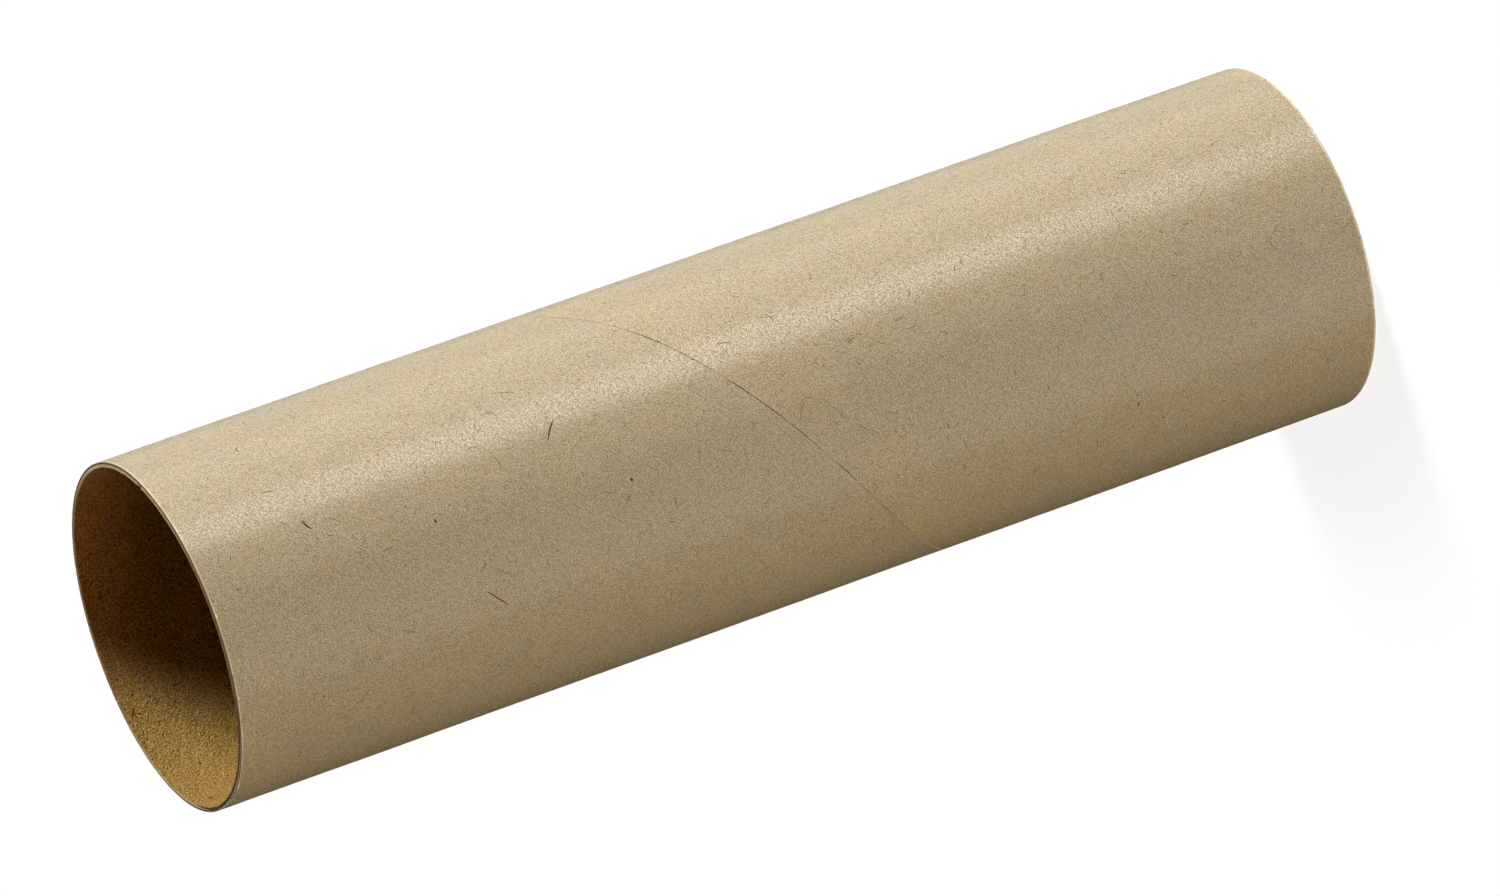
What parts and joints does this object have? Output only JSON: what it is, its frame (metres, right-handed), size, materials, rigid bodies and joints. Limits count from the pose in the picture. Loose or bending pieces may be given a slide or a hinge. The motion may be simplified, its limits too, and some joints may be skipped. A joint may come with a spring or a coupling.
{
  "type": "paper tube",
  "caption": "Open-ended spiral-wound paper tube, a kraft paper ply over a board ply, used as a winding core or as a shipping and storage tube.",
  "frame": {"origin": "centre of the lower cut end, on the tube's axis", "axes": "+Z along the axis, from the lower cut end to the upper one; the outer seam leaves the lower end on the +X side"},
  "size_m": [0.0788, 0.0788, 0.28],
  "materials": {
    "kraft": "satin",
    "board": "matte"
  },
  "bodies": {
    "root": {"outer_ply": "kraft", "inner_ply": "board"}
  },
  "joints": []
}
